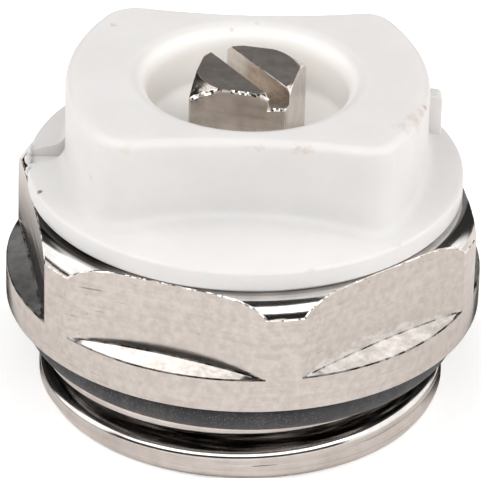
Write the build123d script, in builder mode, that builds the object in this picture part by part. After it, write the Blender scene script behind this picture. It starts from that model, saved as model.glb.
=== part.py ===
"""Radiator bleed valve: a hexagon plug with a swivelling discharge cap. Millimetres, +Z up."""

import os
from math import cos, radians, sin

from build123d import *

os.makedirs("parts", exist_ok=True)

# Plug body, turned from hexagon bar. Z = 0 is the underside of its collar, which meets the radiator.
collar_radius = 12.2
collar_height = 1.85
ledge_rise = 0.25
across_flats = 22
hex_turn = 40.3
hex_top = 6.15
crown_radius = 11.2
crown_drop = 0.43

# Parallel pipe thread G 1/2 at its major diameter, with the groove for the collar ring above it.
thread_radius = 20.955 / 2
thread_end = -5.25
thread_lead = 0.4
relief_radius = 9.35
relief_length = 2.05

# Underside, vent bore, conical seat and the port above it.
underside_radius = 7.2
underside_roof = -1.2
vent_radius = 1.25
seat_radius = 2.0
seat_top = 0.2
port_radius = 0.6
port_height = 1.35
port_angle = 55
port_start = 0.9
port_length = 5

# Boss that carries the spindle. The M8 x 1 screw thread is given by its pitch cylinder.
boss_radius = 5.3
screw_radius = 3.75
screw_top = 4.5
gland_radius = 4.13

# Ring chamber round the boss, with the socket and snap groove for the cap above it.
ring_radius = 7.8
ring_floor = 0.8
socket_radius = 9.2
socket_floor = 2.6
groove_depth = 0.45
groove_foot = 3.5
groove_height = 0.75

# Clearances.
screw_clearance = 0.03
land_clearance = 0.05
swivel_clearance = 0.05
cap_gap = 0.05
seal_gap = 0.01
stop_gap = 0.05
boss_gap = 0.25
head_clearance = 0.1

# Spindle: cone, screw, sealed land, and a 5 mm square milled on its round head, with a slot whose
# floor falls towards the back.
lift = 1.25
tip_radius = 0.9
cone_radius = 2.6
neck_top = 1.9
screw_foot = 2.4
undercut_radius = 3.3
undercut_length = 0.25
land_foot = 4.7
seal_section = 1.0
seal_groove_width = 1.05
seal_groove_foot = 5.0
square_side = 5.0
square_corner = 3.5
square_crown = 2.6
square_turn = 33.4
square_foot = 8.4
head_top = 12.7
crown_angle = 38
slot_width = 1.2
slot_depth = 1.4
slot_fall = 12.5

# Cap: domed round flange, waisted grip with a well that ends in a funnel, and a skirt of snap fingers.
flange_radius = 11.1
flange_top = 8.05
flange_edge = 7.3
flange_rim = 0.2
flange_foot_rim = 0.15
dome_start = 6.0
grip_half_length = 9.2
grip_corner = (6.7, 7.7)
grip_waist = 6.95
grip_top = 12.35
grip_corner_left = 2.0
grip_corner_right = 1.5
grip_rim = 0.45
grip_root = 0.9
well_radius = 5.1
well_floor = 9.45
well_rim = 1.05
well_root = 0.4
funnel_foot = 8.5
floor_thickness = 0.75
roof_radius = 5.75
cavity_roof = 6.9
skirt_thickness = 1.25
skirt_foot = 2.9
bead_depth = 0.35
finger_gap = 1.2
finger_root = 6.0
wall = 1.2
pocket_start = 5.0
pocket_roof = 11.1

# Outlet at the left end of the grip: a notch in the flange and the window behind it in the wall.
grip_foot = 7.2
notch_floor = 7.0
notch_width = 1.5
notch_root = 9.0
window_top = 8.4
gate_width = 0.9
gate_length = 2.0
gate_reach = 10.0
gate_back = 3.7
gate_top = 11.1
gate_round = 0.35

# Ring under the collar.
collar_seal_section = 2.0


cap_roof = funnel_foot - floor_thickness
boss_top = cap_roof - boss_gap

with BuildPart() as valve_body:
    # Collar with its shallow conical top.
    with BuildSketch(Plane.XZ):
        with BuildLine():
            Polyline(
                (0, 0),
                (collar_radius, 0),
                (collar_radius, collar_height),
                (across_flats / 2, collar_height + ledge_rise),
                (0, collar_height + ledge_rise),
                close=True,
            )
        make_face()
    revolve(axis=Axis.Z)
    # Six flats, whose corners keep the round of the collar.
    with BuildSketch(Plane.XY):
        Circle(collar_radius)
        RegularPolygon(across_flats / 2, 6, major_radius=False, rotation=hex_turn, mode=Mode.INTERSECT)
    extrude(amount=hex_top)
    # Rounded crown turned on the six corners.
    crown_foot = (collar_radius, hex_top - crown_drop)
    with BuildSketch(Plane.XZ):
        with BuildLine():
            TangentArc((crown_radius, hex_top), crown_foot, tangent=(1, 0))
            Polyline(
                crown_foot,
                (collar_radius + 1, hex_top - crown_drop),
                (collar_radius + 1, hex_top + 1),
                (crown_radius, hex_top + 1),
                (crown_radius, hex_top),
            )
        make_face()
    revolve(axis=Axis.Z, mode=Mode.SUBTRACT)
    # Threaded end with the ring groove.
    with BuildSketch(Plane.XZ):
        with BuildLine():
            Polyline(
                (0, 0),
                (relief_radius, 0),
                (relief_radius, -relief_length),
                (thread_radius, -relief_length),
                (thread_radius, thread_end + thread_lead),
                (thread_radius - thread_lead, thread_end),
                (0, thread_end),
                close=True,
            )
        make_face()
    revolve(axis=Axis.Z)
    # Socket for the cap with its snap groove, and the ring chamber below it.
    with BuildSketch(Plane.XZ):
        with BuildLine():
            Polyline(
                (boss_radius, ring_floor),
                (ring_radius, ring_floor),
                (ring_radius, socket_floor),
                (socket_radius, socket_floor),
                (socket_radius, groove_foot),
                (socket_radius + groove_depth, groove_foot + groove_depth),
                (socket_radius + groove_depth, groove_foot + groove_height),
                (socket_radius, groove_foot + groove_height),
                (socket_radius, hex_top),
                (boss_radius, hex_top),
                close=True,
            )
        make_face()
    revolve(axis=Axis.Z, mode=Mode.SUBTRACT)
    # Boss above the hexagon.
    with BuildSketch(Plane.XY.offset(ring_floor)):
        Circle(boss_radius)
    extrude(amount=boss_top - ring_floor)
    # Bore from the hollow underside up through the seat, the screw thread and the gland.
    screw_bore = screw_radius + screw_clearance
    with BuildSketch(Plane.XZ):
        with BuildLine():
            Polyline(
                (0, thread_end),
                (underside_radius, thread_end),
                (underside_radius, underside_roof),
                (vent_radius, underside_roof),
                (vent_radius, seat_top - seat_radius + vent_radius),
                (seat_radius, seat_top),
                (screw_bore, seat_top),
                (screw_bore, screw_top),
                (gland_radius, screw_top),
                (gland_radius, boss_top),
                (0, boss_top),
                close=True,
            )
        make_face()
    revolve(axis=Axis.Z, mode=Mode.SUBTRACT)
    # Slanted port from the bore to the ring chamber, on the outlet side.
    port_run = cos(radians(port_angle))
    port_rise = sin(radians(port_angle))
    port_origin = (port_start * port_run - screw_bore, 0, port_height - port_start * port_rise)
    with BuildSketch(Plane(origin=port_origin, z_dir=(-port_run, 0, port_rise))):
        Circle(port_radius)
    extrude(amount=port_length, mode=Mode.SUBTRACT)

valve_body.part.label = "valve_body"
export_step(valve_body.part, "parts/valve_body.step")


with BuildPart() as collar_o_ring:
    collar_seal_centre = relief_radius + seal_gap + collar_seal_section / 2
    with BuildSketch(Plane.XZ):
        with Locations((collar_seal_centre, -collar_seal_section / 2 - seal_gap)):
            Circle(collar_seal_section / 2)
    revolve(axis=Axis.Z)

collar_o_ring.part.label = "collar_o_ring"
export_step(collar_o_ring.part, "parts/collar_o_ring.step")


land_radius = gland_radius - land_clearance
seal_floor = gland_radius - seal_gap - seal_section - seal_gap
land_top = cap_roof - lift - stop_gap
cone_offset = seat_top - seat_radius + seal_gap

with BuildPart() as bleed_spindle:
    # Turned shank from the cone up to the sealed land.
    with BuildSketch(Plane.XZ):
        with BuildLine():
            Polyline(
                (0, tip_radius + cone_offset),
                (tip_radius, tip_radius + cone_offset),
                (cone_radius, cone_radius + cone_offset),
                (cone_radius, neck_top),
                (screw_radius, screw_foot),
                (screw_radius, screw_top - undercut_length),
                (undercut_radius, screw_top - undercut_length),
                (undercut_radius, land_foot),
                (land_radius, land_foot),
                (land_radius, seal_groove_foot),
                (seal_floor, seal_groove_foot),
                (seal_floor, seal_groove_foot + seal_groove_width),
                (land_radius, seal_groove_foot + seal_groove_width),
                (land_radius, land_top),
                (0, land_top),
                close=True,
            )
        make_face()
    revolve(axis=Axis.Z)
    # Round head with the square milled on it.
    with BuildSketch(Plane.XY.offset(land_top)):
        Circle(square_corner)
    extrude(amount=square_foot - land_top)
    with BuildSketch(Plane.XY.offset(square_foot)):
        Circle(square_corner)
        Rectangle(square_side, square_side, rotation=square_turn - 45, mode=Mode.INTERSECT)
    extrude(amount=head_top - square_foot)
    # Crown turned on the head.
    crown_fall = (square_corner - square_crown) * sin(radians(crown_angle)) / cos(radians(crown_angle))
    with BuildSketch(Plane.XZ):
        with BuildLine():
            Polyline(
                (square_crown, head_top),
                (square_corner, head_top - crown_fall),
                (square_corner + 1, head_top - crown_fall),
                (square_corner + 1, head_top + 1),
                (square_crown, head_top + 1),
                close=True,
            )
        make_face()
    revolve(axis=Axis.Z, mode=Mode.SUBTRACT)
    # Screwdriver slot from corner to corner.
    slot_run = square_corner + slot_width
    slot_drop = slot_run * sin(radians(slot_fall)) / cos(radians(slot_fall))
    slot_way = (sin(radians(square_turn)), -cos(radians(square_turn)), 0)
    slot_side = (-cos(radians(square_turn)), -sin(radians(square_turn)), 0)
    with BuildSketch(Plane(origin=(0, 0, head_top), x_dir=slot_way, z_dir=slot_side)):
        with BuildLine():
            Polyline(
                (-slot_run, slot_width),
                (-slot_run, -slot_depth - slot_drop),
                (slot_run, -slot_depth + slot_drop),
                (slot_run, slot_width),
                close=True,
            )
        make_face()
    extrude(amount=slot_width / 2, both=True, mode=Mode.SUBTRACT)

bleed_spindle.part.label = "bleed_spindle"
export_step(bleed_spindle.part, "parts/bleed_spindle.step")


with BuildPart() as spindle_o_ring:
    with BuildSketch(Plane.XZ):
        with Locations((seal_floor + seal_gap + seal_section / 2, seal_groove_foot + seal_groove_width / 2)):
            Circle(seal_section / 2)
    revolve(axis=Axis.Z)

spindle_o_ring.part.label = "spindle_o_ring"
export_step(spindle_o_ring.part, "parts/spindle_o_ring.step")


cap_foot = hex_top + cap_gap
head_hole = square_corner + head_clearance
skirt_radius = socket_radius - swivel_clearance
skirt_bore = skirt_radius - skirt_thickness
bead_foot = groove_foot + cap_gap
bead_top = groove_foot + groove_height - 2 * cap_gap
reach = 2 * collar_radius


with BuildSketch() as grip_outline:
    right_back = grip_corner
    left_back = (-grip_corner[0], grip_corner[1])
    right_front = (grip_corner[0], -grip_corner[1])
    left_front = (-grip_corner[0], -grip_corner[1])
    with BuildLine():
        ThreePointArc(left_back, (0, grip_waist), right_back)
        ThreePointArc(right_back, (grip_half_length, 0), right_front)
        ThreePointArc(right_front, (0, -grip_waist), left_front)
        ThreePointArc(left_front, (-grip_half_length, 0), left_back)
    make_face()
    fillet(grip_outline.vertices().group_by(Axis.X)[0], grip_corner_left)
    fillet(grip_outline.vertices().group_by(Axis.X)[-1], grip_corner_right)

with BuildPart() as discharge_cap:
    # Domed flange with a narrow edge.
    with BuildSketch(Plane.XZ):
        with BuildLine():
            Polyline((dome_start, flange_top), (0, flange_top), (0, cap_foot), (flange_radius, cap_foot))
            Line((flange_radius, cap_foot), (flange_radius, flange_edge))
            TangentArc((dome_start, flange_top), (flange_radius, flange_edge), tangent=(1, 0))
        make_face()
    revolve(axis=Axis.Z)
    rim_edges = discharge_cap.edges().filter_by(GeomType.CIRCLE)
    rim_edges = rim_edges.filter_by(lambda edge: abs(edge.radius - flange_radius) < seal_gap)
    fillet(rim_edges.group_by(Axis.Z)[-1], flange_rim)
    chamfer(rim_edges.group_by(Axis.Z)[0], flange_foot_rim)
    # Grip with a rounded root.
    with BuildSketch(Plane.XY.offset(grip_foot)):
        add(grip_outline.sketch_local)
    extrude(amount=grip_top - grip_foot)
    fillet(discharge_cap.edges(Select.NEW), grip_root)
    # Skirt with its snap bead.
    with BuildSketch(Plane.XZ):
        with BuildLine():
            Polyline(
                (skirt_bore, skirt_foot),
                (skirt_radius - bead_depth, skirt_foot),
                (skirt_radius, skirt_foot + bead_depth),
                (skirt_radius, bead_foot),
                (skirt_radius + bead_depth, bead_foot + bead_depth),
                (skirt_radius + bead_depth, bead_top),
                (skirt_radius, bead_top),
                (skirt_radius, grip_foot - flange_foot_rim),
                (skirt_bore, grip_foot - flange_foot_rim),
                close=True,
            )
        make_face()
    revolve(axis=Axis.Z)
    # Room over the boss, hole for the square head, and the funnel and well above it.
    with BuildSketch(Plane.XZ):
        with BuildLine():
            Polyline(
                (0, skirt_foot),
                (skirt_bore, skirt_foot),
                (skirt_bore, cavity_roof),
                (roof_radius, cavity_roof),
                (roof_radius, cap_roof),
                (head_hole, cap_roof),
                (head_hole, funnel_foot),
                (well_radius, well_floor),
                (well_radius, grip_top),
                (0, grip_top),
                close=True,
            )
        make_face()
    revolve(axis=Axis.Z, mode=Mode.SUBTRACT)
    # Slots that part the skirt into fingers.
    with BuildSketch(Plane.XY.offset(skirt_foot)):
        with PolarLocations(0, 2, start_angle=45, angular_range=180):
            Rectangle(reach, finger_gap)
    extrude(amount=finger_root - skirt_foot, mode=Mode.SUBTRACT)
    # Pockets that hollow the two ends of the grip.
    with BuildSketch(Plane.XY.offset(cavity_roof)):
        add(grip_outline.sketch_local)
        offset(amount=-wall, mode=Mode.REPLACE)
        Circle(well_radius + wall, mode=Mode.SUBTRACT)
        Rectangle(2 * pocket_start, reach, mode=Mode.SUBTRACT)
    extrude(amount=pocket_roof - cavity_roof, mode=Mode.SUBTRACT)
    # Rounded top edges of the grip and of the well, and the root of the well.
    top_edges = discharge_cap.edges().filter_by_position(Axis.Z, grip_top, grip_top)
    fillet(top_edges.filter_by(lambda edge: abs(edge.radius - well_radius) > seal_gap), grip_rim)
    well_edges = discharge_cap.edges().filter_by(GeomType.CIRCLE)
    well_edges = well_edges.filter_by(lambda edge: abs(edge.radius - well_radius) < seal_gap)
    fillet(well_edges.sort_by(Axis.Z)[-1], well_rim)
    fillet(well_edges.sort_by(Axis.Z)[0], well_root)
    # Outlet notch in the flange at the left end, and the window from the left pocket into it.
    with BuildSketch(Plane.XY.offset(notch_floor)):
        with Locations((-(notch_root + reach) / 2, 0)):
            Rectangle(reach - notch_root, notch_width)
    extrude(amount=flange_top - notch_floor, mode=Mode.SUBTRACT)
    with BuildSketch(Plane.XY.offset(notch_floor)):
        with Locations((-(roof_radius + wall + reach) / 2, 0)):
            Rectangle(reach - roof_radius - wall, notch_width)
    extrude(amount=window_top - notch_floor, mode=Mode.SUBTRACT)
    # Stub of the moulding gate behind the right end.
    with BuildSketch(Plane.XY.offset(grip_foot)):
        with Locations((gate_reach - gate_length / 2, gate_back)):
            Rectangle(gate_length, gate_width)
    extrude(amount=gate_top - grip_foot)
    gate_edges = discharge_cap.edges().filter_by(Axis.Y).filter_by_position(Axis.Z, gate_top, gate_top)
    fillet(gate_edges.sort_by(Axis.X)[-1], gate_round)

discharge_cap.part.label = "discharge_cap"
export_step(discharge_cap.part, "parts/discharge_cap.step")
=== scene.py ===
# %% [markdown]
# # Radiator bleed valve
#
# A vent plug for a radiator: a nickel-plated brass hexagon with a pipe thread, a black ring under its
# collar, a white discharge cap that swivels, and a square-headed spindle in the well of the cap. The
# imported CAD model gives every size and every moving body. This lesson gives the pieces their finish:
# it cuts the real thread, softens the edges that a lathe and a mould leave soft, and builds the metal,
# rubber and plastic from shader nodes.

# %% Load the frame
from math import cos, pi, radians, sin

import bmesh
import bpy
from mathutils import Matrix, Vector, noise


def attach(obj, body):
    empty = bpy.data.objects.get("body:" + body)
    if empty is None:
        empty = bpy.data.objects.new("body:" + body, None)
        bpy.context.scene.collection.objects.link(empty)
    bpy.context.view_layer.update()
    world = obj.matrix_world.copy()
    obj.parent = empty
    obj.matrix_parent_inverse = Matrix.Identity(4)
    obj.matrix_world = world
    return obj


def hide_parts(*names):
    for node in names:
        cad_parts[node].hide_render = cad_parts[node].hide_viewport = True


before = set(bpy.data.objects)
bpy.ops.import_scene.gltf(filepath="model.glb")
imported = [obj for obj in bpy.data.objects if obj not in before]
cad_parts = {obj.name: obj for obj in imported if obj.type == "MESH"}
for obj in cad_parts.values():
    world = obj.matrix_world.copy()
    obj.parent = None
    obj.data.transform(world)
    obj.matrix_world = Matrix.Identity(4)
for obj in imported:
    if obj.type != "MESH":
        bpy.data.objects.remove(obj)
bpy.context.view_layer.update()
MM = 0.001

# %% [markdown]
# ## Camera
#
# The picture is taken from 30 degrees above, from the front, with the camera turned a little about its
# own axis. A camera can be aimed with a Track To constraint or by its matrix. The matrix is chosen here,
# because its three columns are the directions right, up and back, and the small turn is then one line.

# %% Camera
IMAGE_WIDTH = 481
IMAGE_HEIGHT = 478
SENSOR_WIDTH = 36.0
rise = radians(30.04)
turn = radians(1.58)
distance = 232 * MM
pixels_per_metre = 19459
aim = Vector((0, 0, 3 * MM))
aim_pixel = Vector((243.7, 236.2))

level_right = Vector((1, 0, 0))
level_up = Vector((0, sin(rise), cos(rise)))
view_back = Vector((0, -cos(rise), sin(rise)))
view_right = cos(turn) * level_right + sin(turn) * level_up
view_up = cos(turn) * level_up - sin(turn) * level_right
offset = aim_pixel - Vector((IMAGE_WIDTH, IMAGE_HEIGHT)) / 2
centre = aim - view_right * offset.x / pixels_per_metre + view_up * offset.y / pixels_per_metre

camera_data = bpy.data.cameras.new("photo_camera")
camera_data.sensor_width = SENSOR_WIDTH
camera_data.lens = pixels_per_metre * distance / IMAGE_WIDTH * SENSOR_WIDTH
camera_data.clip_start = 0.01
camera = bpy.data.objects.new("photo_camera", camera_data)
axes = Matrix((view_right, view_up, view_back)).transposed().to_4x4()
camera.matrix_world = Matrix.Translation(centre + view_back * distance) @ axes
bpy.context.scene.collection.objects.link(camera)
bpy.context.scene.camera = camera
print("camera lens", round(camera_data.lens, 1), "mm")

# %% [markdown]
# ## Helpers for pieces
#
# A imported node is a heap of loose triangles. To work on one, a copy is welded, and the triangles of each
# flat are joined again, so that its edges are the real edges of the part. An edge that is to carry a burr
# is divided first, then bevelled, and the middle line of the bevel is moved by noise. Every finished piece
# is shaded smooth up to a chosen angle, below which the narrow bevels blend into their faces, and rides on
# its body.


# %% Helpers for pieces
WELD = 1e-7
SAME_FLAT = radians(0.05)
EDGE_ANGLE = radians(14)


def everything(bm):
    return bm.verts[:] + bm.edges[:] + bm.faces[:]


def welded_copy(node):
    """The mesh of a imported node, welded, with the flats joined to whole faces."""
    bm = bmesh.new()
    bm.from_mesh(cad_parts[node].data)
    for layer in (bm.loops.layers.float_vector, bm.loops.layers.uv):
        for entry in list(layer.values()):
            layer.remove(entry)
    bmesh.ops.remove_doubles(bm, verts=bm.verts, dist=WELD)
    bmesh.ops.dissolve_limit(bm, angle_limit=SAME_FLAT, verts=bm.verts, edges=bm.edges)
    return bm


def is_outer_edge(edge):
    """True for an edge where two faces meet in an outward corner."""
    return len(edge.link_faces) == 2 and edge.is_convex and edge.calc_face_angle() > EDGE_ANGLE


def divide_edge(edge, length):
    """Splits an edge into short equal pieces. The faces beside it stay whole."""
    pieces = [edge]
    start = edge.verts[0]
    for left in range(max(1, round(edge.calc_length() / length)), 1, -1):
        piece, start = bmesh.utils.edge_split(edge, start, 1 / left)
        pieces.append(piece)
    return pieces


def soften(bm, edges, width, finish):
    """Bevels edges by two narrow faces, which get a finish of their own."""
    made = bmesh.ops.bevel(
        bm, geom=edges, offset=width, offset_type="OFFSET", affect="EDGES",
        segments=2, profile=0.5, material=-1, clamp_overlap=False,
    )
    for face in made["faces"]:
        face.material_index = finish
    return made["faces"]


def middle_line(faces):
    """The points inside a strip of bevelled faces, which touch no other face."""
    strip = set(faces)
    points = {vert for face in faces for vert in face.verts}
    return [vert for vert in points if all(face in strip for face in vert.link_faces)]


def roughen(faces, depth, grain):
    """Sinks the middle line of bevelled faces unevenly, as a tool leaves an edge."""
    for vert in middle_line(faces):
        vert.co -= vert.normal * depth * max(0.5 + noise.noise(vert.co * grain), 0)


def finish_piece(bm, name, body, materials, sharp=30.0):
    """Turns a bmesh into a smooth-shaded object that rides on a body."""
    mesh = bpy.data.meshes.new(name)
    bm.to_mesh(mesh)
    bm.free()
    carried = mesh.attributes.get("custom_normal")
    if carried:
        mesh.attributes.remove(carried)
    mesh.shade_smooth()
    mesh.set_sharp_from_angle(angle=radians(sharp))
    for material in materials:
        mesh.materials.append(material)
    piece = bpy.data.objects.new(name, mesh)
    bpy.context.scene.collection.objects.link(piece)
    weighted = piece.modifiers.new("even_shading", "WEIGHTED_NORMAL")
    weighted.keep_sharp = True
    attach(piece, body)
    print(name, len(mesh.polygons), "faces")
    return piece


# %% [markdown]
# ## Finishes
#
# All finishes read Object coordinates, which are metres here, so a scale of 1000 is one wave per
# millimetre. What several finishes share, such as specks and fine lines, is built once as a node group
# and used with different values.


# %% Node helpers
def link(tree, source, target):
    tree.links.new(source, target)


def add_node(tree, kind, **values):
    """A node with its inputs set by name."""
    node = tree.nodes.new(kind)
    for key, value in values.items():
        node.inputs[key.replace("_", " ")].default_value = value
    return node


def new_group(name, inputs, outputs):
    """An empty shader node group with float inputs and named outputs."""
    group = bpy.data.node_groups.new(name, "ShaderNodeTree")
    for label, value in inputs.items():
        socket = group.interface.new_socket(label, in_out="INPUT", socket_type="NodeSocketFloat")
        socket.default_value = value
    for label in outputs:
        group.interface.new_socket(label, in_out="OUTPUT", socket_type="NodeSocketFloat")
    return group, group.nodes.new("NodeGroupInput"), group.nodes.new("NodeGroupOutput")


def use_group(tree, group, **values):
    node = tree.nodes.new("ShaderNodeGroup")
    node.node_tree = group
    for key, value in values.items():
        node.inputs[key.replace("_", " ")].default_value = value
    return node


def math_node(tree, operation, first, second=0.5, clamp=False):
    node = tree.nodes.new("ShaderNodeMath")
    node.operation = operation
    node.use_clamp = clamp
    for socket, value in zip(node.inputs, (first, second)):
        if isinstance(value, (int, float)):
            socket.default_value = value
        else:
            link(tree, value, socket)
    return node.outputs[0]


def mix_colour(tree, amount, first, second):
    """Blends two colours by a mask. Each colour is a tuple or a socket."""
    node = tree.nodes.new("ShaderNodeMix")
    node.data_type = "RGBA"
    link(tree, amount, node.inputs["Factor"])
    for socket, value in zip((node.inputs[6], node.inputs[7]), (first, second)):
        if isinstance(value, tuple):
            socket.default_value = (*value, 1)
        else:
            link(tree, value, socket)
    return node.outputs[2]


def range_node(tree, value, low, high, to_low=0.0, to_high=1.0, smooth=False):
    node = tree.nodes.new("ShaderNodeMapRange")
    node.interpolation_type = "SMOOTHSTEP" if smooth else "LINEAR"
    link(tree, value, node.inputs["Value"])
    for label, number in (("From Min", low), ("From Max", high), ("To Min", to_low), ("To Max", to_high)):
        node.inputs[label].default_value = number
    return node.outputs["Result"]


# %% [markdown]
# ### Turning lines
#
# A turned or drawn part carries fine lines across its axis. They could be drawn with a Wave texture, but
# real lines are uneven, so a Noise texture is used that is squeezed along Z: it changes fast up the part
# and slowly around it. A second noise gives the clouds of the plating bath.

# %% Turning lines group
lines_group, lines_in, lines_out = new_group(
    "turning_lines", {"Around": 60.0, "Along": 4000.0, "Clouds": 420.0}, ["Lines", "Cloud"]
)
coordinates = lines_group.nodes.new("ShaderNodeTexCoord")
stretch = lines_group.nodes.new("ShaderNodeCombineXYZ")
link(lines_group, lines_in.outputs["Around"], stretch.inputs["X"])
link(lines_group, lines_in.outputs["Around"], stretch.inputs["Y"])
link(lines_group, lines_in.outputs["Along"], stretch.inputs["Z"])
squeezed = lines_group.nodes.new("ShaderNodeVectorMath")
squeezed.operation = "MULTIPLY"
link(lines_group, coordinates.outputs["Object"], squeezed.inputs[0])
link(lines_group, stretch.outputs[0], squeezed.inputs[1])
fine_lines = add_node(lines_group, "ShaderNodeTexNoise", Scale=1.0, Detail=3.0, Roughness=0.6)
link(lines_group, squeezed.outputs[0], fine_lines.inputs["Vector"])
cloud = add_node(lines_group, "ShaderNodeTexNoise", Detail=4.0, Roughness=0.62)
link(lines_group, coordinates.outputs["Object"], cloud.inputs["Vector"])
link(lines_group, lines_in.outputs["Clouds"], cloud.inputs["Scale"])
link(lines_group, fine_lines.outputs["Fac"], lines_out.inputs["Lines"])
link(lines_group, cloud.outputs["Fac"], lines_out.inputs["Cloud"])
print("group", lines_group.name)

# %% [markdown]
# ### Specks
#
# Dust and dirt lie in single grains. A Voronoi texture gives each grain its own cell, and the distance
# from the cell's centre gives a round spot. A second, slow noise decides where grains lie close and where
# there are none.

# %% Specks group
specks_group, specks_in, specks_out = new_group(
    "specks", {"Scale": 900.0, "Size": 0.12, "Patches": 160.0, "Cover": 0.5}, ["Mask"]
)
coordinates = specks_group.nodes.new("ShaderNodeTexCoord")
cells = specks_group.nodes.new("ShaderNodeTexVoronoi")
link(specks_group, coordinates.outputs["Object"], cells.inputs["Vector"])
link(specks_group, specks_in.outputs["Scale"], cells.inputs["Scale"])
spot = math_node(specks_group, "DIVIDE", cells.outputs["Distance"], specks_in.outputs["Size"])
spot = range_node(specks_group, spot, 0.6, 1.0, 1.0, 0.0)
patches = add_node(specks_group, "ShaderNodeTexNoise", Detail=2.0)
link(specks_group, coordinates.outputs["Object"], patches.inputs["Vector"])
link(specks_group, specks_in.outputs["Patches"], patches.inputs["Scale"])
lying = math_node(specks_group, "SUBTRACT", patches.outputs["Fac"], specks_in.outputs["Cover"])
lying = math_node(specks_group, "MULTIPLY", lying, 12.0, clamp=True)
link(specks_group, math_node(specks_group, "MULTIPLY", spot, lying), specks_out.inputs["Mask"])
print("group", specks_group.name)

# %% [markdown]
# ### Smudges
#
# Some marks have a place: a finger mark, a rub, a painted shadow on a corner. A mark is a soft ball round a
# point, with its border broken by noise. It could be painted, but a ball round a point needs no picture
# and sits on the surface from every side.

# %% Smudge group
smudge_group, smudge_in, smudge_out = new_group(
    "smudge", {"X": 0.0, "Y": 0.0, "Z": 0.0, "Reach": 0.001, "Stretch": 1.0, "Grain": 4000.0}, ["Mask"]
)
coordinates = smudge_group.nodes.new("ShaderNodeTexCoord")
place = smudge_group.nodes.new("ShaderNodeCombineXYZ")
for axis in "XYZ":
    link(smudge_group, smudge_in.outputs[axis], place.inputs[axis])
drawn = add_node(smudge_group, "ShaderNodeCombineXYZ", Y=1.0, Z=1.0)
link(smudge_group, smudge_in.outputs["Stretch"], drawn.inputs["X"])
step = coordinates.outputs["Object"]
for operation, other in (("SUBTRACT", place), ("DIVIDE", drawn), ("LENGTH", None)):
    away = smudge_group.nodes.new("ShaderNodeVectorMath")
    away.operation = operation
    link(smudge_group, step, away.inputs[0])
    if other:
        link(smudge_group, other.outputs[0], away.inputs[1])
    step = away.outputs[0]
share = math_node(smudge_group, "DIVIDE", away.outputs["Value"], smudge_in.outputs["Reach"])
ragged = add_node(smudge_group, "ShaderNodeTexNoise", Detail=3.0, Roughness=0.7)
link(smudge_group, coordinates.outputs["Object"], ragged.inputs["Vector"])
link(smudge_group, smudge_in.outputs["Grain"], ragged.inputs["Scale"])
border = math_node(smudge_group, "MULTIPLY", ragged.outputs["Fac"], 1.6)
share = math_node(smudge_group, "ADD", share, border)
mask = range_node(smudge_group, share, 0.9, 1.5, 1.0, 0.0, smooth=True)
link(smudge_group, mask, smudge_out.inputs["Mask"])
print("group", smudge_group.name)


# %% [markdown]
# ### Distance from the axis
#
# On a turned part, colour, painted light and painted shade often follow the radius: the dark thread roots,
# the painted light in the well of the cap, the painted shade under the flange. This group gives the
# distance from the plug's axis, with the height and the side.

# %% Axis group
axis_group, axis_in, axis_out = new_group("from_axis", {}, ["Distance", "X", "Z"])
coordinates = axis_group.nodes.new("ShaderNodeTexCoord")
split = axis_group.nodes.new("ShaderNodeSeparateXYZ")
link(axis_group, coordinates.outputs["Object"], split.inputs[0])
squares = [math_node(axis_group, "POWER", split.outputs[axis], 2.0) for axis in "XY"]
root = math_node(axis_group, "SQRT", math_node(axis_group, "ADD", *squares))
link(axis_group, root, axis_out.inputs["Distance"])
for axis in "XZ":
    link(axis_group, split.outputs[axis], axis_out.inputs[axis])
print("group", axis_group.name)


# %% [markdown]
# ### Nickel plate
#
# The plug is brass under a thin coat of nickel, a warm grey. Its upright walls were drawn or rolled and
# are satin, with faint lines, clouds and scratches. Its turned faces mirror the room almost sharply. A
# metal's colour lives in its reflection, so Metallic is one in all of them, and the lines change roughness
# and bump more than colour. The ledges are a brighter copy of the turned nickel, a painted highlight. The
# burrs and rubbed edges are brighter too, partly from wear and partly as a painted highlight. The ledge
# rims carry dark broken lines, and the inner corners of the ledges a painted shade.


# %% Nickel plate
def new_material(name, colour, metallic, roughness):
    material = bpy.data.materials.new(name)
    material.use_nodes = True
    surface = material.node_tree.nodes["Principled BSDF"]
    surface.inputs["Base Color"].default_value = (*colour, 1)
    surface.inputs["Metallic"].default_value = metallic
    surface.inputs["Roughness"].default_value = roughness
    return material, material.node_tree, surface


def add_bump(tree, surface, height, strength, depth):
    bump = add_node(tree, "ShaderNodeBump", Strength=strength, Distance=depth)
    link(tree, height, bump.inputs["Height"])
    link(tree, bump.outputs["Normal"], surface.inputs["Normal"])


def metal_finish(name, dark, light, gloss, lines, bump, streaks=1.0, scratched=False):
    """A plated metal between two tones, with roughness and bump from its turning lines."""
    material, tree, surface = new_material(name, light, 1.0, gloss[0])
    marks = use_group(tree, lines_group, **lines)
    streak = math_node(tree, "MULTIPLY", marks.outputs["Lines"], streaks)
    tone = math_node(tree, "ADD", marks.outputs["Cloud"], streak)
    middle = (1 + streaks) / 2
    blend = range_node(tree, tone, middle - TONE_SPREAD, middle + TONE_SPREAD)
    colour = mix_colour(tree, blend, dark, light)
    if scratched:
        cuts = use_group(tree, lines_group, Around=330.0, Along=9000.0, Clouds=330.0)
        cut = range_node(tree, cuts.outputs["Lines"], 0.64, 0.7)
        patch = range_node(tree, cuts.outputs["Cloud"], 0.5, 0.56, 0, SCRATCH_STRENGTH)
        cut = math_node(tree, "MULTIPLY", cut, patch)
        pits = use_group(tree, specks_group, Scale=2600.0, Size=0.16, Patches=420.0, Cover=0.54)
        pit = math_node(tree, "MULTIPLY", pits.outputs["Mask"], PIT_STRENGTH)
        cut = math_node(tree, "MAXIMUM", cut, pit)
        colour = mix_colour(tree, cut, colour, SCRATCH_TONE)
    link(tree, colour, surface.inputs["Base Color"])
    link(tree, range_node(tree, marks.outputs["Lines"], 0.3, 0.7, *gloss), surface.inputs["Roughness"])
    add_bump(tree, surface, marks.outputs["Lines"], *bump)
    return material


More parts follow.
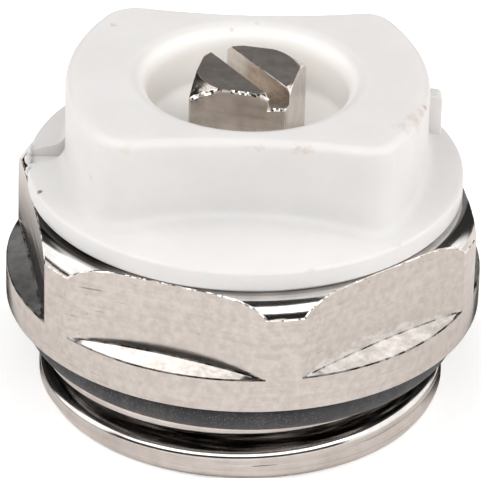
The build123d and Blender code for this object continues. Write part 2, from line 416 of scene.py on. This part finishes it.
TONE_SPREAD = 0.16
SCRATCH_TONE = (0.16, 0.135, 0.115)
SCRATCH_STRENGTH = 0.65
PIT_STRENGTH = 0.4
satin_nickel = metal_finish(
    "satin_nickel", (0.535, 0.502, 0.476), (0.65, 0.622, 0.602), (0.12, 0.22),
    {"Around": 90.0, "Along": 3600.0, "Clouds": 2300.0}, (0.1, 0.01 * MM), 0.5, True,
)
turned_nickel = metal_finish(
    "turned_nickel", (0.62, 0.6, 0.585), (0.73, 0.71, 0.695), (0.07, 0.16),
    {"Around": 40.0, "Along": 9000.0, "Clouds": 700.0}, (0.12, 0.006 * MM),
)
# Dark ledge lines: painted shade in the ledges' inner corners, a dark broken line on their rims.
ledge_dark_lines = metal_finish(
    "ledge_dark_lines", (0.03, 0.026, 0.023), (0.5, 0.48, 0.46), (0.2, 0.4),
    {"Around": 1500.0, "Along": 1500.0, "Clouds": 900.0}, (0.3, 0.01 * MM),
)
# The ledges: a brighter copy of the turned nickel, a painted highlight.
ledge_painted_highlight = metal_finish(
    "ledge_painted_highlight", (0.66, 0.64, 0.62), (0.9, 0.88, 0.865), (0.08, 0.16),
    {"Around": 900.0, "Along": 900.0, "Clouds": 1500.0}, (0.1, 0.006 * MM),
)
# Burrs and rubbed edges: partly worn bright, partly a painted highlight.
bright_edge = metal_finish(
    "bright_edge", (0.72, 0.68, 0.63), (0.92, 0.89, 0.86), (0.08, 0.25),
    {"Around": 2600.0, "Along": 2600.0, "Clouds": 1500.0}, (0.5, 0.03 * MM),
)
spindle_metal = metal_finish(
    "spindle_metal", (0.5, 0.45, 0.405), (0.66, 0.605, 0.555), (0.14, 0.28),
    {"Around": 320.0, "Along": 3200.0, "Clouds": 1100.0}, (0.2, 0.015 * MM), 0.7, True,
)
# The slot: milled, and painted lighter than the spindle as painted light in the slot.
slot_painted_light = metal_finish(
    "slot_painted_light", (0.66, 0.6, 0.545), (0.8, 0.75, 0.7), (0.13, 0.22),
    {"Around": 500.0, "Along": 2600.0, "Clouds": 1400.0}, (0.2, 0.012 * MM),
)
print("metals", [item.name for item in bpy.data.materials])

# %% [markdown]
# ### Painted shade under the flange
#
# At the left, the gap between the flange and the plug is painted black as shade. It lies on the plug's top,
# so it
# is a mask on the turned nickel: inside the crown, on one side and above the flats.

# %% Painted shade under the flange
# Painted shade: the gap under the flange is darkened on the plug's top.
FLANGE_SHADE = (0.03, 0.026, 0.022)
FLANGE_SHADE_STRENGTH = 0.95
tree = turned_nickel.node_tree
surface = tree.nodes["Principled BSDF"]
unshaded_colour = surface.inputs["Base Color"].links[0].from_socket
spot = use_group(tree, axis_group)
inside = range_node(tree, spot.outputs["Distance"], 11.4 * MM, 11.6 * MM, 1, 0, smooth=True)
at_left = range_node(tree, spot.outputs["X"], -7.5 * MM, -5.0 * MM, FLANGE_SHADE_STRENGTH, 0, smooth=True)
on_top = range_node(tree, spot.outputs["Z"], 5.5 * MM, 5.7 * MM)
# Painted shade mask: inside the crown, at the left, above the flats.
grime_and_shade = math_node(tree, "MULTIPLY", math_node(tree, "MULTIPLY", inside, at_left), on_top)
link(tree, mix_colour(tree, grime_and_shade, unshaded_colour, FLANGE_SHADE), surface.inputs["Base Color"])
print("grime on", turned_nickel.name)

# %% [markdown]
# ### Rubber
#
# Nitrile rubber is black and nearly matt, and holds dust. Its sheen is soft, so the roughness is high,
# and the dust is the specks group in pale grey.

# %% Rubber
rubber, tree, surface = new_material("seal_rubber", (0.04, 0.042, 0.047), 0.0, 0.42)
dust = use_group(tree, specks_group, Scale=8000.0, Size=0.34, Patches=500.0, Cover=0.36)
grime_and_shade = use_group(tree, lines_group, Around=500.0, Along=900.0, Clouds=1300.0)
tone = range_node(tree, grime_and_shade.outputs["Cloud"], 0.35, 0.7)
black = mix_colour(tree, tone, (0.026, 0.027, 0.031), (0.052, 0.053, 0.058))
link(tree, mix_colour(tree, dust.outputs["Mask"], black, (0.11, 0.11, 0.115)), surface.inputs["Base Color"])
link(tree, range_node(tree, grime_and_shade.outputs["Lines"], 0.3, 0.7, 0.34, 0.55), surface.inputs["Roughness"])
add_bump(tree, surface, grime_and_shade.outputs["Cloud"], 0.3, 0.02 * MM)
print("material", rubber.name)

# %% [markdown]
# ### White plastic
#
# The cap is moulded in white plastic, a little warm and a little see-through, so light bleeds softly
# round its edges. Subsurface weight gives that softness. The well is painted whiter, as painted light
# that lifts the shade in it. Handling has left faint brown marks elsewhere, and each mark is one smudge
# with its own place.

# %% White plastic
WHITE = (0.755, 0.74, 0.732)
WELL_PAINTED_LIGHT = (0.98, 0.955, 0.925)
WELL_REACH = 5.3 * MM
WELL_BLUR = 0.5 * MM
white, tree, surface = new_material("white_plastic", WHITE, 0.0, 0.36)
surface.inputs["Subsurface Weight"].default_value = 0.5
surface.inputs["Subsurface Radius"].default_value = (1.0, 0.8, 0.7)
surface.inputs["Subsurface Scale"].default_value = 1.0 * MM
mould = use_group(tree, lines_group, Around=900.0, Along=900.0, Clouds=260.0)
tone = range_node(tree, mould.outputs["Cloud"], 0.35, 0.65)
colour = mix_colour(tree, tone, (0.74, 0.725, 0.716), (0.77, 0.757, 0.75))
spot = use_group(tree, axis_group)
# Painted light: the well is lifted to a whiter colour against its shade.
well_light_mask = range_node(
    tree, spot.outputs["Distance"], WELL_REACH, WELL_REACH + WELL_BLUR, 1, 0, smooth=True
)
colour = mix_colour(tree, well_light_mask, colour, WELL_PAINTED_LIGHT)
specks = use_group(tree, specks_group, Scale=420.0, Size=0.07, Patches=260.0, Cover=0.5)
speck = math_node(tree, "MULTIPLY", specks.outputs["Mask"], 0.35)
colour = mix_colour(tree, speck, colour, (0.5, 0.44, 0.38))
BROWN = (0.5, 0.37, 0.26)
DARK_BROWN = (0.2, 0.13, 0.1)
# Each mark: place and reach in millimetres, how far it is drawn out along X, strength, colour.
MARKS = [
    ((8.8, -2.5, 12.1), 0.36, 1, 0.75, (0.42, 0.29, 0.16)),
    ((8.3, -4.0, 12.15), 1.0, 1, 0.4, BROWN),
    ((7.7, -4.9, 12.2), 0.9, 1, 0.25, BROWN),
    ((8.6, -3.2, 12.2), 0.6, 1, 0.3, BROWN),
    ((2.9, -6.95, 12.0), 0.34, 4, 0.5, BROWN),
    ((0.6, -6.85, 12.0), 0.26, 6, 0.3, BROWN),
    ((-5.9, -7.3, 12.0), 0.6, 1, 0.2, (0.62, 0.52, 0.4)),
    ((-7.0, 5.1, 12.35), 0.4, 1, 0.45, BROWN),
    ((-10.28, -3.66, 7.35), 0.28, 1, 0.9, DARK_BROWN),
    ((-7.6, -6.2, 9.7), 0.3, 1, 0.3, BROWN),
    ((-10.95, -1.2, 7.2), 0.3, 1, 0.8, DARK_BROWN),
    ((8.0, -8.0, 7.4), 0.4, 3, 0.3, BROWN),
    ((3.5, -10.6, 7.3), 0.3, 3, 0.25, BROWN),
]
for (x, y, z), reach, drawn_out, strength, stain in MARKS:
    mark = use_group(
        tree, smudge_group, X=x * MM, Y=y * MM, Z=z * MM, Reach=reach * MM, Stretch=drawn_out, Grain=3500.0
    )
    cover = math_node(tree, "MULTIPLY", mark.outputs["Mask"], strength)
    colour = mix_colour(tree, cover, colour, stain)
link(tree, colour, surface.inputs["Base Color"])
link(tree, range_node(tree, mould.outputs["Lines"], 0.3, 0.7, 0.32, 0.42), surface.inputs["Roughness"])
add_bump(tree, surface, mould.outputs["Lines"], 0.1, 0.02 * MM)
print("material", white.name, "with", len(MARKS), "marks")

# %% [markdown]
# ## The pipe thread
#
# A thread is one tooth profile carried along a screw line. The Screw modifier can do it, and so can
# bmesh spin with a step along the axis, which is used here because the tooth stays a handful of points.
# One tooth as long as the pitch, spun for some turns and welded, is a threaded sleeve. It is cut level at
# both ends. Its last turn is filled to a plain rim, as the run-out leaves it, and pressed in to the lead-in
# cone of the blank. Its open ends are extruded inwards: above to the bottom of the ring groove, below over
# the end face and up the bore.

# %% Pipe thread
PITCH = 1.814 * MM
CREST = 10.4775 * MM
ROOT = 9.32 * MM
CREST_HALF = 0.25 * MM
ROOT_HALF = 0.05 * MM
TOOTH_ROUND = 0.22 * MM
RUN_OUT_TOP = -4.0 * MM
RUN_OUT = 0.3 * MM
THREAD_TOP = -2.05 * MM
THREAD_END = -5.25 * MM
LEAD_IN = 0.4 * MM
FRONT_CREST = -2.16 * MM
BORE = 7.2 * MM
BORE_CHAMFER = 0.15 * MM
GROOVE = 9.35 * MM
STEPS = 144
TURNS = 4

thread = bmesh.new()
half_tooth = [(CREST, CREST_HALF), (ROOT, PITCH / 2 - ROOT_HALF), (ROOT, PITCH / 2)]
tooth = [(radius, -height) for radius, height in reversed(half_tooth)] + half_tooth
start = FRONT_CREST - 3 * PITCH
points = [thread.verts.new((0, -radius, start + height)) for radius, height in tooth]
for pair in zip(points, points[1:]):
    thread.edges.new(pair)
bmesh.ops.bevel(
    thread, geom=points[2:4], offset=TOOTH_ROUND, offset_type="OFFSET", affect="VERTICES",
    segments=7, profile=0.5, material=-1,
)
bmesh.ops.spin(
    thread, geom=thread.verts[:] + thread.edges[:], cent=(0, 0, 0), axis=(0, 0, 1),
    dvec=(0, 0, PITCH / STEPS), angle=2 * pi * TURNS, steps=STEPS * TURNS,
)
bmesh.ops.remove_doubles(thread, verts=thread.verts, dist=1e-6)
for height, side in ((THREAD_TOP, 1), (THREAD_END, -1)):
    bmesh.ops.bisect_plane(
        thread, geom=everything(thread), dist=WELD, plane_co=(0, 0, height), plane_no=(0, 0, side),
        clear_outer=True,
    )
for vert in thread.verts:
    radius = vert.co.xy.length
    filled = min(max((RUN_OUT_TOP - vert.co.z) / RUN_OUT, 0), 1)
    limit = CREST - LEAD_IN + (vert.co.z - THREAD_END)
    vert.co.xy *= min(radius + (CREST - radius) * filled, limit) / radius


def draw_loop(bm, loop, radius, height):
    """Extrudes an open loop to a new radius and height and returns the new loop."""
    made = bmesh.ops.extrude_edge_only(bm, edges=loop)["geom"]
    for vert in (item for item in made if isinstance(item, bmesh.types.BMVert)):
        vert.co.xy *= radius / vert.co.xy.length
        vert.co.z = height
    return [item for item in made if isinstance(item, bmesh.types.BMEdge) and item.is_boundary]


open_edges = [edge for edge in thread.edges if edge.is_boundary]
upper = [edge for edge in open_edges if edge.verts[0].co.z > (THREAD_TOP + THREAD_END) / 2]
lower = [edge for edge in open_edges if edge not in upper]
upper = draw_loop(thread, upper, GROOVE, THREAD_TOP)
mouth = ((BORE + BORE_CHAMFER, THREAD_END), (BORE, THREAD_END + BORE_CHAMFER), (BORE, THREAD_TOP))
for radius, height in mouth:
    lower = draw_loop(thread, lower, radius, height)
print("thread", len(thread.faces), "faces")

# %% [markdown]
# ### Thread metal
#
# The thread is darker in its roots and lighter on its crests, with grey specks in the dark, which is broken
# by streaks and stops above the lead-in. The distance from the axis tells root from crest, so the darkening
# is a mask on the radius, laid over the turned metal.

# %% Thread metal
ROOT_DARK_DEPTH = 0.3 * MM
LIGHT_CREST_DEPTH = 0.14 * MM
thread_metal, tree, surface = new_material("thread_metal", (0.7, 0.68, 0.66), 1.0, 0.12)
marks = use_group(tree, lines_group, Around=40.0, Along=9000.0, Clouds=700.0)
tone = math_node(tree, "ADD", marks.outputs["Cloud"], marks.outputs["Lines"])
tone = range_node(tree, tone, 1 - TONE_SPREAD, 1 + TONE_SPREAD)
colour = mix_colour(tree, tone, (0.58, 0.55, 0.525), (0.72, 0.695, 0.675))
spot = use_group(tree, axis_group)
# Darker towards the thread roots, lighter on the crests and on the lead-in.
root_dark = range_node(
    tree, spot.outputs["Distance"], CREST - ROOT_DARK_DEPTH, CREST - LIGHT_CREST_DEPTH, 1, 0, smooth=True
)
above_end = range_node(tree, spot.outputs["Z"], THREAD_END + 0.6 * MM, THREAD_END + 0.8 * MM)
root_dark = math_node(tree, "MULTIPLY", root_dark, above_end)
root_breaks = use_group(tree, lines_group, Around=70.0, Along=5200.0, Clouds=160.0)
soft_root_break = math_node(tree, "MULTIPLY", root_breaks.outputs["Cloud"], 0.6)
keep = math_node(tree, "ADD", root_breaks.outputs["Lines"], soft_root_break)
root_dark = math_node(tree, "MULTIPLY", root_dark, range_node(tree, keep, 0.74, 0.94, 1.0, 0.4))
grit = use_group(tree, specks_group, Scale=3000.0, Size=0.16, Patches=500.0, Cover=0.46)
black = mix_colour(tree, grit.outputs["Mask"], (0.02, 0.018, 0.017), (0.3, 0.28, 0.26))
link(tree, mix_colour(tree, root_dark, colour, black), surface.inputs["Base Color"])
link(tree, range_node(tree, marks.outputs["Lines"], 0.3, 0.7, 0.08, 0.18), surface.inputs["Roughness"])
add_bump(tree, surface, marks.outputs["Lines"], 0.12, 0.006 * MM)
print("material", thread_metal.name)

# %% [markdown]
# ## The plug
#
# The CAD body has the true hexagon, collar and bores, but its threaded end is a plain cylinder. A welded
# copy keeps everything above the ring groove. Its upright walls are satin, and all other faces are turned.

# %% Plug body
PLUG_CUT = -2.0 * MM
UPRIGHT = 0.1
SATIN, TURNED, BRIGHT, DARK_LINE, THREAD, LEDGE = range(6)


def wall_or_turned(face):
    return SATIN if abs(face.normal.z) < UPRIGHT else TURNED


bm = welded_copy("valve_body")
bmesh.ops.bisect_plane(
    bm, geom=everything(bm), dist=WELD, plane_co=(0, 0, PLUG_CUT), plane_no=(0, 0, -1), clear_outer=True
)
for face in bm.faces:
    face.material_index = wall_or_turned(face)
print("plug body", len(bm.faces), "faces")

# %% [markdown]
# ### The crown
#
# A turned crown cuts the corners of the hexagon. The white and black bands that it mirrors show a round
# shoulder, rounder than the arc of the CAD model. A new crown could be spun and cut by the flats again. It
# is simpler to cut the crown into rings by level planes and to lower each ring to the rounder arc.

# %% Crown
HEX_TOP = 6.15 * MM
CROWN_START = 11.2 * MM
CROWN_WIDTH = 1.0 * MM
CAD_ROUND = 1.3778 * MM
CROWN_ROUND = 1.48 * MM
CROWN_PART = 0.92
RING_ANGLES = range(8, 76, 8)
CLOSE = 0.01 * MM
LEVEL = 0.9999


def crown_height(out):
    """Height of the CAD model's crown, by the distance out from where it starts."""
    return HEX_TOP - CAD_ROUND + (CAD_ROUND ** 2 - out ** 2) ** 0.5


def on_crown(vert):
    out = vert.co.xy.length - CROWN_START
    if not 1e-6 < out < CROWN_WIDTH + CLOSE:
        return False
    return abs(vert.co.z - crown_height(out)) < CLOSE


def is_crown_face(face):
    on_it = all(on_crown(vert) or abs(vert.co.z - HEX_TOP) < 1e-6 for vert in face.verts)
    return on_it and face.normal.z < LEVEL


for angle in RING_ANGLES:
    crown_faces = [face for face in bm.faces if is_crown_face(face)]
    ring_edges = {edge for face in crown_faces for edge in face.edges}
    ring_verts = {vert for face in crown_faces for vert in face.verts}
    bmesh.ops.bisect_plane(
        bm, geom=list(ring_verts) + list(ring_edges) + crown_faces, dist=1e-8,
        plane_co=(0, 0, crown_height(CROWN_WIDTH * sin(radians(angle)))), plane_no=(0, 0, 1),
    )
moved = [vert for vert in bm.verts if on_crown(vert)]
for vert in moved:
    share = min((vert.co.xy.length - CROWN_START) / CROWN_WIDTH, 1)
    vert.co.z = HEX_TOP - CROWN_ROUND * (1 - (1 - (CROWN_PART * share) ** 2) ** 0.5)
bm.normal_update()
print("crown points", len(moved))

# %% [markdown]
# ### Ledges and edges
#
# Each flat ends below in a ledge, painted bright as a painted highlight. Its inner corner gets a narrow
# dark bevel as painted shade, and its rim a narrow dark bevel with a broken dark line. Where a tool crossed
# the crown it left burrs: these edges are divided, bevelled and roughened, and their bright finish is
# partly a painted highlight. The other outer edges are only softened and keep the finish beside them.

# %% Ledges and edges
SEEN_FROM = 10.8 * MM
RIM_FROM = 12.15 * MM
LEDGE_RIM = 1.85 * MM
LEDGE_LOW = 1.0 * MM
LEDGE_HIGH = 3.5 * MM
LEDGE_WIDTH = 0.06 * MM
CORNER_WIDTH = 0.05 * MM
EDGE_WIDTH = 0.05 * MM
CROWN_FOOT = 4.5 * MM
BURR_STEP = 0.12 * MM
BURR_DEPTH = 0.06 * MM
BURR_GRAIN = 5200


def on_ledge_rim(vert):
    return abs(vert.co.z - LEDGE_RIM) < 0.05 * MM and vert.co.xy.length > RIM_FROM


outer = [
    edge for edge in bm.edges
    if is_outer_edge(edge) and min(vert.co.xy.length for vert in edge.verts) > SEEN_FROM
]
crown = [edge for edge in outer if min(vert.co.z for vert in edge.verts) > CROWN_FOOT]
ledge = [edge for edge in outer if all(on_ledge_rim(vert) for vert in edge.verts)]
plain = [edge for edge in outer if edge not in crown and edge not in ledge]
# Ledge faces take the ledge finish, painted brighter as a painted highlight.
for face in bm.faces:
    middle = face.calc_center_median()
    if face.normal.z > 0.5 and middle.xy.length > SEEN_FROM and LEDGE_LOW < middle.z < LEDGE_HIGH:
        face.material_index = LEDGE
corners = [
    edge for edge in bm.edges
    if len(edge.link_faces) == 2 and not edge.is_convex
    and {face.material_index for face in edge.link_faces} == {LEDGE, SATIN}
]
print("ledge corners", len(corners), "rims", len(ledge))
# The ledge rims get a dark broken line; the inner corners get a dark bevel as painted shade.
soften(bm, ledge, LEDGE_WIDTH, DARK_LINE)
soften(bm, [edge for edge in corners if edge.is_valid], CORNER_WIDTH, DARK_LINE)
# The crown's burrs take the bright edge finish, partly wear and partly a painted highlight.
pieces = [piece for edge in crown for piece in divide_edge(edge, BURR_STEP)]
edge_faces = soften(bm, [edge for edge in plain if edge.is_valid] + pieces, EDGE_WIDTH, BRIGHT)
burr = [face for face in edge_faces if face.calc_center_median().z > CROWN_FOOT]
roughen(burr, BURR_DEPTH, BURR_GRAIN)
for face in set(edge_faces) - set(burr):
    face.material_index = wall_or_turned(face)

# %% [markdown]
# ### Joining the thread
#
# The thread's mesh is poured into the plug's, and the two pairs of open rings, one in the ring groove and
# one in the bore, are bridged. The metal is then one closed piece.

# %% Joining the thread
poured = bpy.data.meshes.new("poured")
for face in thread.faces:
    face.material_index = THREAD
thread.to_mesh(poured)
thread.free()
bm.from_mesh(poured)
bpy.data.meshes.remove(poured)
rings = [edge for edge in bm.edges if edge.is_boundary]
for inside in (True, False):
    pair = [edge for edge in rings if (edge.verts[0].co.xy.length < (BORE + GROOVE) / 2) == inside]
    bridged = bmesh.ops.bridge_loops(bm, edges=pair)
    for face in bridged["faces"]:
        face.material_index = TURNED
bmesh.ops.recalc_face_normals(bm, faces=bm.faces)
print("open edges left", sum(edge.is_boundary for edge in bm.edges))
plug = finish_piece(
    bm, "plug_metal", "plug",
    [satin_nickel, turned_nickel, bright_edge, ledge_dark_lines, thread_metal, ledge_painted_highlight], 15,
)
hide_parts("valve_body")

# %% [markdown]
# ## The two rings
#
# Both sealing rings are plain rounds, true in the CAD model, so welded copies are enough.

# %% Rings
ring = finish_piece(welded_copy("collar_o_ring"), "collar_ring", "plug", [rubber], 60)
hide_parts("collar_o_ring")
inner_ring = finish_piece(
    welded_copy("spindle_o_ring"), "spindle_ring", "gland_seal", [rubber], 60
)
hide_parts("spindle_o_ring")

# %% [markdown]
# ## The spindle
#
# Keys and screwdrivers have raised a bright, torn burr along the front of the square head. Its edges are
# divided, bevelled and moved in and out by noise. All other edges of the head are rubbed, with one narrow
# clean bevel. The burr and the bevels have a bright finish, partly wear and partly a painted highlight.
# The walls and the floor of the slot are milled, and their finish is painted lighter than the spindle,
# as painted light in the slot.

# %% Spindle
HEAD_FOOT = 8.0 * MM
HEAD_TOP = 12.7 * MM
SLOT_TURN = radians(33.4)
SLOT_HALF = 0.6 * MM
HEAD_BURR_WIDTH = 0.13 * MM
HEAD_BURR_STEP = 0.09 * MM
HEAD_BURR_RISE = 0.2 * MM
HEAD_BURR_GRAIN = 2600
RUB_WIDTH = 0.045 * MM
SLIVER = 0.002 * MM
PLATED, BURRED, LIGHTENED_SLOT = range(3)
across_slot = Vector((cos(SLOT_TURN), sin(SLOT_TURN), 0))


def head_edges():
    """The outer edges of the head that are still sharp."""
    return [
        edge for edge in bm.edges
        if is_outer_edge(edge) and max(vert.co.z for vert in edge.verts) > HEAD_FOOT + 2 * MM
        and all(face.material_index != BURRED for face in edge.link_faces)
    ]


def is_front_edge(edge):
    """True for the level or arched edges of the front flat, and not for its upright ones."""
    height = abs(edge.verts[0].co.z - edge.verts[1].co.z)
    return height < 1.2 * MM and any(face.normal.y < -0.9 for face in edge.link_faces)


bm = welded_copy("bleed_spindle")
# Slot faces take the slot finish, painted lighter as painted light in the slot.
for face in bm.faces:
    middle = face.calc_center_median()
    in_slot = abs(middle.dot(across_slot)) < SLOT_HALF + CLOSE and middle.z > HEAD_FOOT + 1 * MM
    face.material_index = LIGHTENED_SLOT if in_slot and middle.z < HEAD_TOP - 0.1 * MM else PLATED
front = [edge for edge in head_edges() if is_front_edge(edge)]
pieces = [piece for edge in front for piece in divide_edge(edge, HEAD_BURR_STEP)]
# The burr and the rubbed edges take the bright edge finish, partly wear and partly a painted highlight.
burr = soften(bm, pieces, HEAD_BURR_WIDTH, BURRED)
bm.normal_update()
for vert in middle_line(burr):
    vert.co += vert.normal * HEAD_BURR_RISE * noise.noise(vert.co * HEAD_BURR_GRAIN)
soften(bm, head_edges(), RUB_WIDTH, BURRED)
for vert in bm.verts:
    vert.co.z = min(vert.co.z, HEAD_TOP)
bmesh.ops.dissolve_degenerate(bm, dist=SLIVER, edges=bm.edges)
print("open edges left", sum(not edge.is_manifold for edge in bm.edges))

# %% [markdown]
# ### Painted shadow on the spindle's corner
#
# The front left corner of the head is painted black, as the shadow above the burr. It is one smudge, placed
# by the outermost point of that corner.

# %% Painted shadow on the spindle's corner
# Painted shadow above the burr on the head's front left corner.
BURR_SHADOW_BLACK = (0.02, 0.017, 0.015)
BURR_SHADOW_OFFSET = Vector((0.25, 0.1, 0.3)) * MM
BURR_SHADOW_REACH = 0.95 * MM
head = [vert.co for vert in bm.verts if vert.co.z > HEAD_FOOT + 2 * MM]
centre = min(head, key=lambda point: point.x + 0.66 * point.y) + BURR_SHADOW_OFFSET
tree = spindle_metal.node_tree
surface = tree.nodes["Principled BSDF"]
unshaded_colour = surface.inputs["Base Color"].links[0].from_socket
burr_shadow = use_group(tree, smudge_group, X=centre.x, Y=centre.y, Z=centre.z, Reach=BURR_SHADOW_REACH)
link(tree, mix_colour(tree, burr_shadow.outputs["Mask"], unshaded_colour, BURR_SHADOW_BLACK), surface.inputs["Base Color"])
spindle = finish_piece(
    bm, "spindle_turned", "spindle",
    [spindle_metal, bright_edge, slot_painted_light], 15,
)
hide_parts("bleed_spindle")

# %% [markdown]
# ## The cap
#
# The moulding is true in the CAD model, with all its rounds, so a welded copy carries it. Only the stub of
# the mould's gate, at the right end, was broken off lower than the model has it, so its top is moved down.

# %% Cap
GATE_START = 8.4 * MM
GATE_BACK = 3.7 * MM
GATE_HALF = 0.45 * MM
GATE_TOP = 11.1 * MM
GATE_DROP = 1.4 * MM
GATE_ROUND = 0.4 * MM
bm = welded_copy("discharge_cap")
stub = [
    vert for vert in bm.verts
    if vert.co.x > GATE_START and abs(vert.co.y - GATE_BACK) < GATE_HALF + CLOSE
    and GATE_TOP - GATE_ROUND < vert.co.z < GATE_TOP + CLOSE
]
bmesh.ops.translate(bm, vec=(0, 0, -GATE_DROP), verts=stub)
print("gate stub points", len(stub))
cap = finish_piece(bm, "cap_moulding", "cap", [white], 30)
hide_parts("discharge_cap")

# %% [markdown]
# ### Torn bits
#
# The runner of the mould was torn off at the outlet, and left a few white bits on the rim of the flange.
# Each is a small ball, squeezed and pushed about by noise, which looks torn from every side. All of them
# are one piece that turns with the cap. The noise has a fixed seed, so that every run tears them alike.

# %% Torn bits
# Each bit: angle round the flange from the front, height and size in millimetres.
BITS = [
    (-84, 7.1, 0.3), (-87, 6.85, 0.24), (-89.5, 7.2, 0.34),
    (-92, 6.95, 0.26), (-94.5, 7.15, 0.3), (-97, 7.2, 0.2),
]
RIM = 11.05 * MM
BIT_SHAPE = (0.55, 1.1, 0.8)
BIT_GRAIN = 3800
BIT_TEAR = 0.14 * MM
BIT_SEED = 4
noise.seed_set(BIT_SEED)
bm = bmesh.new()
for angle, height, size in BITS:
    bit = bmesh.ops.create_icosphere(bm, subdivisions=3, radius=size * MM)["verts"]
    around = radians(angle)
    bmesh.ops.scale(bm, vec=BIT_SHAPE, verts=bit)
    bmesh.ops.translate(bm, vec=(RIM * sin(around), -RIM * cos(around), height * MM), verts=bit)
    for vert in bit:
        vert.co += noise.noise_vector(vert.co * BIT_GRAIN) * BIT_TEAR
bits = finish_piece(bm, "torn_bits", "cap", [white], 40)

# %% [markdown]
# ## Floor
#
# The part stands on a wide white floor. In the metal, the floor is what the upright walls mirror: white in
# front and at the sides, and dark behind the part, where the part keeps off the light. A lane of shade on
# the floor behind the part, seen by mirrored light alone, stands for that shadow, and mirrored light finds
# the floor a little warm. To the camera the floor is plain white with a faint shadow.

# %% Floor
FLOOR_WHITE = (0.93, 0.93, 0.93)
FLOOR_WARM = (0.95, 0.895, 0.86)
CAMERA_LIFT = (0.3, 0.3, 0.3)
LANE_HALF = 16.5 * MM
LANE_START = -2 * MM
LANE_BLUR = 3 * MM
LANE_DARK = (0.04, 0.036, 0.034)
bm = bmesh.new()
bmesh.ops.create_grid(bm, x_segments=8, y_segments=8, size=2.0)
bmesh.ops.translate(bm, vec=(0, 0, THREAD_END), verts=bm.verts)
floor_mesh = bpy.data.meshes.new("floor")
bm.to_mesh(floor_mesh)
bm.free()
floor_material, tree, surface = new_material("floor_white", FLOOR_WHITE, 0.0, 0.7)
surface.inputs["Specular IOR Level"].default_value = 0.0
coordinates = tree.nodes.new("ShaderNodeTexCoord")
split = tree.nodes.new("ShaderNodeSeparateXYZ")
link(tree, coordinates.outputs["Object"], split.inputs[0])
ray = tree.nodes.new("ShaderNodeLightPath")
aside = math_node(tree, "ABSOLUTE", split.outputs["X"])
shade = range_node(
    tree, aside, LANE_HALF - LANE_BLUR / 4, LANE_HALF + LANE_BLUR / 4, 1, 0, smooth=True
)
behind = range_node(tree, split.outputs["Y"], LANE_START, LANE_START + LANE_BLUR, smooth=True)
shade = math_node(tree, "MULTIPLY", shade, behind)
shade = math_node(tree, "MULTIPLY", shade, ray.outputs["Is Glossy Ray"])
mirrored = mix_colour(tree, ray.outputs["Is Glossy Ray"], FLOOR_WHITE, FLOOR_WARM)
link(tree, mix_colour(tree, shade, mirrored, LANE_DARK), surface.inputs["Base Color"])
glow = mix_colour(tree, ray.outputs["Is Camera Ray"], (0.0, 0.0, 0.0), CAMERA_LIFT)
link(tree, glow, surface.inputs["Emission Color"])
surface.inputs["Emission Strength"].default_value = 1.0
floor_mesh.materials.append(floor_material)
floor = bpy.data.objects.new("floor", floor_mesh)
bpy.context.scene.collection.objects.link(floor)
print("floor at", round(THREAD_END / MM, 2), "mm")

# %% [markdown]
# ## Mirrored light
#
# A small bright metal part shows its studio: every white stripe on it is a soft box, and every black line
# is the dark room between two boxes. The boxes could be area lights, but their hard borders would show in
# the mirror faces, so they are painted on the world with soft borders: one from high behind the part to
# overhead, a dim one low behind it, one in front, and one on each side. Low in front, and between the front
# box and overhead, the room stays dark.

# %% Soft boxes
world = bpy.data.worlds.new("studio")
world.use_nodes = True
bpy.context.scene.world = world
tree = world.node_tree
background = tree.nodes["Background"]
direction = tree.nodes.new("ShaderNodeTexCoord")
split = tree.nodes.new("ShaderNodeSeparateXYZ")
link(tree, direction.outputs["Generated"], split.inputs[0])
elevation = math_node(tree, "ARCSINE", split.outputs["Z"])
toward = math_node(tree, "MULTIPLY", split.outputs["Y"], -1.0)
azimuth = math_node(tree, "ARCTAN2", split.outputs["X"], toward)


def soft_box(centre, half_width, low, high, level, border):
    """Light from a patch of the sky, by its angles in degrees. Azimuth 0 is the front, 90 the right."""
    turned = math_node(tree, "PINGPONG", math_node(tree, "SUBTRACT", azimuth, radians(centre)), pi)
    across = range_node(tree, turned, radians(half_width - border), radians(half_width), 1, 0, smooth=True)
    above = range_node(tree, elevation, radians(low), radians(low + border), smooth=True)
    below = range_node(tree, elevation, radians(high - border), radians(high), level, 0, smooth=True)
    return math_node(tree, "MULTIPLY", across, math_node(tree, "MULTIPLY", above, below))


# Each box: name, middle azimuth, half width, lowest and highest elevation, level, width of its border.
BASE_LIGHT = 0.03
BOXES = [
    ("behind", 180, 85, 40, 100, 0.95, 8),
    ("low_back", 180, 22, 4, 46, 0.2, 8),
    ("front", 0, 75, 27, 59, 2.7, 4),
    ("right", 92, 38, -6, 62, 1.35, 8),
    ("left", -98, 26, 4, 56, 1.5, 8),
]
light = BASE_LIGHT
for name, *angles in BOXES:
    light = math_node(tree, "ADD", light, soft_box(*angles))
link(tree, light, background.inputs["Strength"])
background.inputs["Color"].default_value = (1, 0.99, 0.98, 1)
bpy.context.scene.view_settings.view_transform = "Standard"
print("soft boxes", [name for name, *angles in BOXES])

# %% [markdown]
# ## Even light
#
# The white cap is lit from all round and has almost no shadows. The soft boxes give most of that, and one
# wide area light at the left fills the side that they leave dim. It is hidden from mirrored rays, so the
# metal keeps its dark stripes.

# %% Even light
LIGHT_SIZE = 0.5
LIGHT_DISTANCE = 0.4


def wide_light(name, azimuth, elevation, power):
    """A square lamp that looks at the part, by its angles in degrees."""
    lamp_data = bpy.data.lights.new(name, "AREA")
    lamp_data.size = LIGHT_SIZE
    lamp_data.energy = power
    lamp = bpy.data.objects.new(name, lamp_data)
    flat = cos(radians(elevation))
    away = Vector((flat * sin(radians(azimuth)), -flat * cos(radians(azimuth)), sin(radians(elevation))))
    aimed = away.to_track_quat("Z", "Y").to_matrix().to_4x4()
    lamp.matrix_world = Matrix.Translation(away * LIGHT_DISTANCE) @ aimed
    lamp.visible_glossy = False
    bpy.context.scene.collection.objects.link(lamp)


wide_light("left_side", -90, 42, 0.34)
print("lights", [item.name for item in bpy.data.lights])
